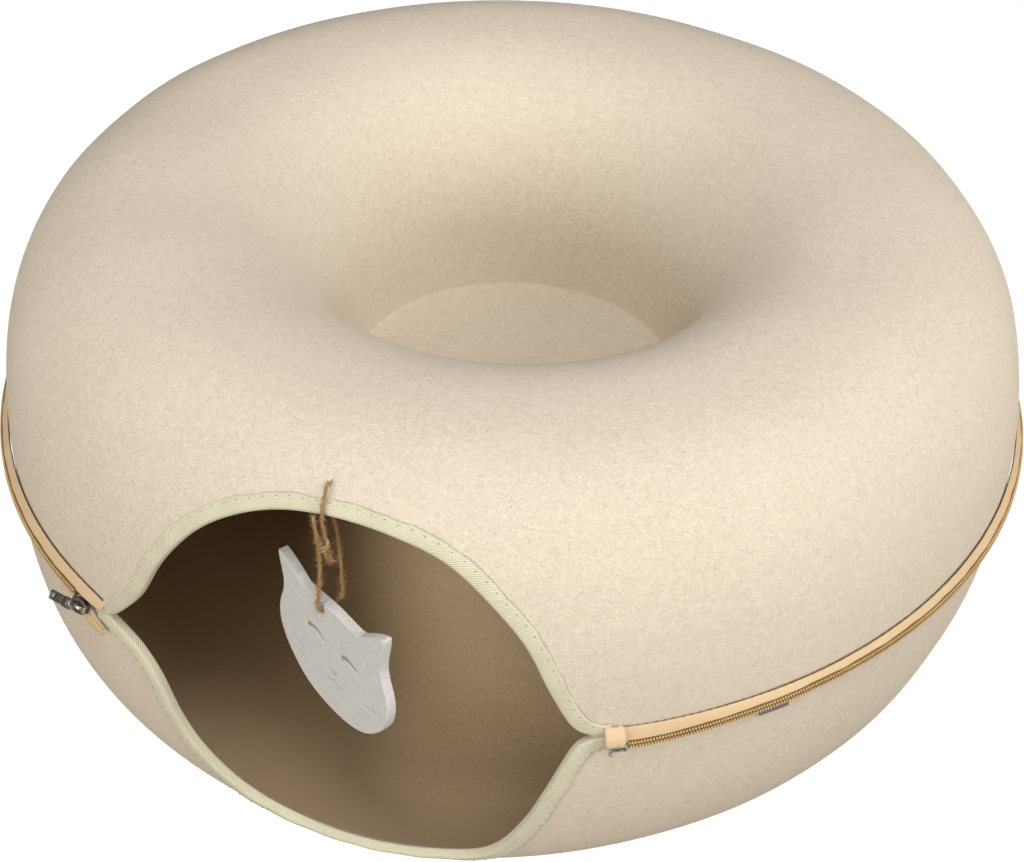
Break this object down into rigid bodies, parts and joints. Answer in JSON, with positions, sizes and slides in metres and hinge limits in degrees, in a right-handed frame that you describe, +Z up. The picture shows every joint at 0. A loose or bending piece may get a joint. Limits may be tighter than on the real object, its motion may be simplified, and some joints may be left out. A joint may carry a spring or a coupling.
{
  "type": "felt cat cave",
  "caption": "Ring-shaped felt tunnel for a cat, with a bound eye-shaped entrance, a centre well, a zip round its rim and a felt cat-head pendant hung in the entrance.",
  "frame": {"origin": "centre of the underside, on the surface that the cave rests on", "axes": "+Z up along the ring's axis, the entrance faces -Y, +X to the right of the entrance"},
  "size_m": [0.6122, 0.6114, 0.2842],
  "materials": {
    "felt_sand": "needle-punched wool felt, matt",
    "twill_cream": "twill tape, matt",
    "tape_apricot": "woven tape, matt",
    "coil_tan": "moulded coil, satin",
    "silver_metal": "pressed metal, satin",
    "dark_nickel": "dark plated die casting",
    "ribbon_grey": "satin ribbon",
    "felt_white": "thick pressed felt, matt",
    "jute": "two-ply hairy twine"
  },
  "bodies": {
    "root": {"upper_shell": "felt_sand", "lower_shell": "felt_sand", "binding_upper": "twill_cream", "binding_lower": "twill_cream", "zip_guard": "tape_apricot", "guard_end": "tape_apricot", "zip_coil": "coil_tan", "zip_tape": "tape_apricot", "zip_tail": "tape_apricot", "zip_stop": "silver_metal", "zip_slider": "dark_nickel", "zip_puller": "dark_nickel", "care_label": "ribbon_grey", "pendant": "felt_white", "twine": "jute"}
  },
  "joints": []
}
